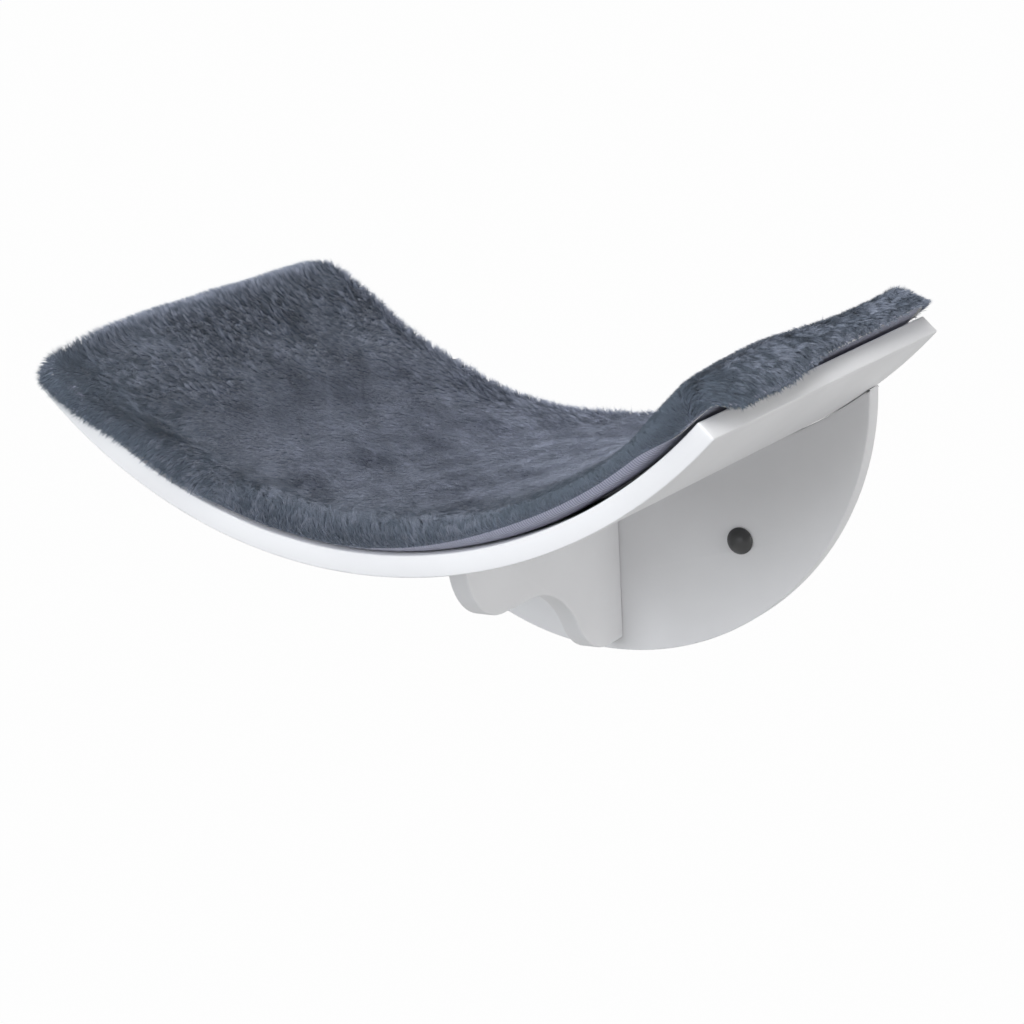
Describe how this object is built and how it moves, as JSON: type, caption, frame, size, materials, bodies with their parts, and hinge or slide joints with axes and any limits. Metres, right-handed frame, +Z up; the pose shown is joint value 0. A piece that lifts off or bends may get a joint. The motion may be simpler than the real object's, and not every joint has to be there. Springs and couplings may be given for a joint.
{
  "type": "wall-mounted cat bed",
  "caption": "Bent-board cat bed with a removable plush cushion, carried on a wall by a half-round plate and a shaped support rib.",
  "frame": {"origin": "on the back of the wall plate, midway between its two wall-screw holes", "axes": "+X to the right seen from the room, +Y into the wall, +Z up"},
  "size_m": [0.4092, 0.2826, 0.2296],
  "materials": {
    "white_board": "satin",
    "zinc_screw": "satin",
    "black_plastic": "satin",
    "hook_tape": "matte",
    "loop_tape": "matte",
    "grey_plush": "matte",
    "grey_knit": "matte",
    "white_wadding": "matte"
  },
  "bodies": {
    "bed_frame": {"seat_shelf": "white_board", "wall_plate": "white_board", "support_rib": "white_board", "shelf_screw_1": "zinc_screw", "shelf_screw_2": "zinc_screw", "shelf_screw_3": "zinc_screw", "shelf_screw_4": "zinc_screw", "rib_screw_back": "zinc_screw", "rib_screw_front": "zinc_screw", "plate_screw_upper": "zinc_screw", "plate_screw_lower": "zinc_screw", "hook_tape_front_left": "hook_tape", "hook_tape_back_left": "hook_tape", "hook_tape_front_right": "hook_tape", "hook_tape_back_right": "hook_tape"},
    "cushion": {"plush_cover": "grey_plush", "cushion_backing": "grey_knit", "cushion_wadding": "white_wadding", "loop_tape_front_left": "loop_tape", "loop_tape_back_left": "loop_tape", "loop_tape_front_right": "loop_tape", "loop_tape_back_right": "loop_tape"},
    "left_cap": {"screw_cap_left": "black_plastic"},
    "right_cap": {"screw_cap_right": "black_plastic"}
  },
  "joints": [
    {"name": "cushion_lift", "type": "slide", "parent": "bed_frame", "child": "cushion", "axis": [0, 0, 1], "range_m": [0, 0.12]},
    {"name": "left_cap_pull", "type": "slide", "parent": "bed_frame", "child": "left_cap", "axis": [0, -1, 0], "range_m": [0, 0.02]},
    {"name": "right_cap_pull", "type": "slide", "parent": "bed_frame", "child": "right_cap", "axis": [0, -1, 0], "range_m": [0, 0.02]}
  ]
}
